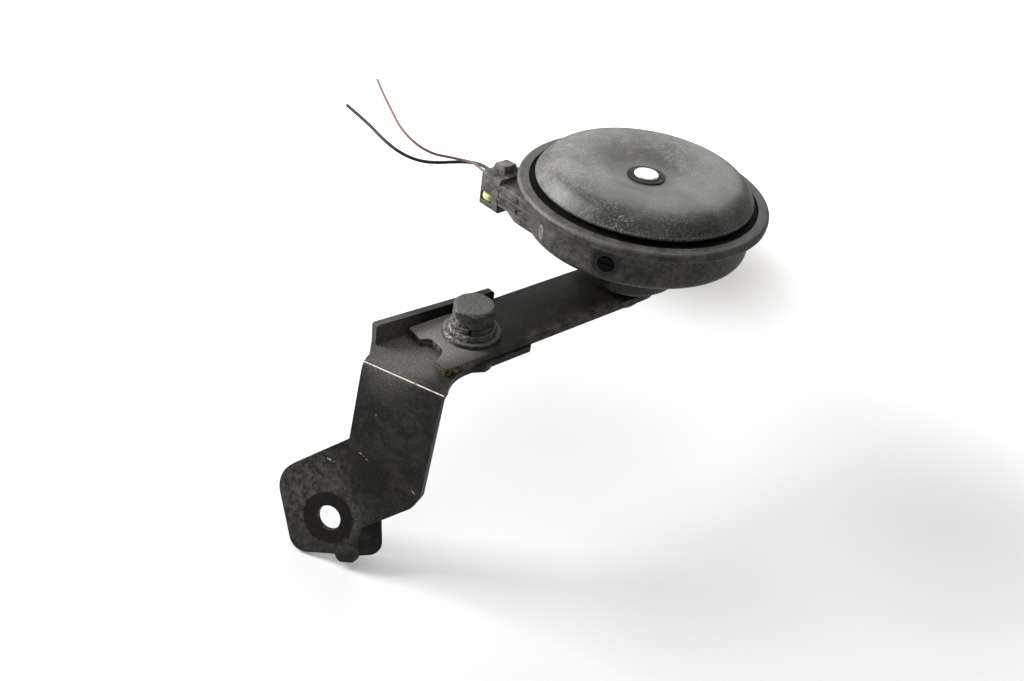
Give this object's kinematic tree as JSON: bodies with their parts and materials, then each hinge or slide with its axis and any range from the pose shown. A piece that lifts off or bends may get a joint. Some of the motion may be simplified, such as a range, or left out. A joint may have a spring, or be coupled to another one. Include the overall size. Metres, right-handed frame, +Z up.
{
  "type": "disc horn on a bracket",
  "caption": "Round electric disc horn for a vehicle, carried by a flat steel arm and a bent mounting bracket, with its connector plugged in.",
  "frame": {"origin": "middle of the wall of the bracket's mounting hole", "axes": "+Z up along the horn's axis towards the tone disc, the flat arm runs from the horn towards -X, +Y towards the plug's mating direction"},
  "size_m": [0.1792, 0.1512, 0.1243],
  "materials": {
    "black_steel": "satin black paint on steel, dusty and worn",
    "zinc_steel": "dull zinc plating, grimy",
    "bare_steel": "bare machined steel",
    "spring_steel": "cold rolled spring steel",
    "gasket_fibre": "pressed gasket sheet",
    "insulator_fibre": "brown laminated fibre",
    "bobbin_plastic": "moulded dark nylon",
    "copper_wire": "enamelled copper winding",
    "contact_metal": "tungsten contact",
    "brass_parts": "plain brass",
    "connector_plastic": "dusty dark grey nylon",
    "yellow_plastic": "pale yellow nylon",
    "seal_rubber": "soft wire seal",
    "black_insulation": "smooth cable insulation",
    "brown_insulation": "smooth cable insulation"
  },
  "bodies": {
    "horn": {"housing_can": "black_steel", "rim_ring": "black_steel", "gasket_ring": "gasket_fibre", "diaphragm": "black_steel", "core_stud": "zinc_steel", "coil_bobbin": "bobbin_plastic", "coil_winding": "copper_wire", "breaker_base": "insulator_fibre", "arm_clamp_strip": "spring_steel", "fixed_contact": "contact_metal", "fixed_contact_bracket": "zinc_steel", "breaker_insulator": "insulator_fibre", "breaker_rivets": "brass_parts", "adjusting_screw": "brass_parts", "screw_bush": "brass_parts", "terminal_blades": "brass_parts", "connector_socket": "connector_plastic", "plug_housing": "connector_plastic", "plug_lock": "yellow_plastic", "plug_contacts": "brass_parts", "wire_seals": "seal_rubber", "wire_black": "black_insulation", "wire_brown": "brown_insulation", "stud_spacer": "zinc_steel", "stud_washer": "zinc_steel", "stud_nut": "zinc_steel", "horn_arm": "black_steel", "bracket_plate": "black_steel", "lower_bracket": "black_steel", "clamp_bolt": "zinc_steel", "flat_washer": "zinc_steel", "collar_washer": "zinc_steel", "spring_washer": "zinc_steel", "weld_nut": "zinc_steel"},
    "vibrator": {"tone_disc": "black_steel", "centre_rivet": "zinc_steel", "rivet_washer": "zinc_steel", "disc_spacer": "bare_steel", "armature": "bare_steel", "push_ring": "insulator_fibre"},
    "breaker": {"breaker_arm": "spring_steel", "moving_contact": "contact_metal"}
  },
  "joints": [
    {"name": "vibration", "type": "slide", "parent": "horn", "child": "vibrator", "axis": [0, 0, 1], "range_m": [-0.0005, 0], "stiffness_N_per_m": 15000, "deforming": ["diaphragm"]},
    {"name": "breaker_flex", "type": "hinge", "parent": "horn", "child": "breaker", "pos_m": [0.09902, -0.01717, 0.09188], "axis": [0.5, -0.866, 0], "range_deg": [-2.2, 0]}
  ],
  "couplings": [
    {"joint": "breaker_flex", "follows": "vibration", "rad_per_m": 68.966}
  ]
}
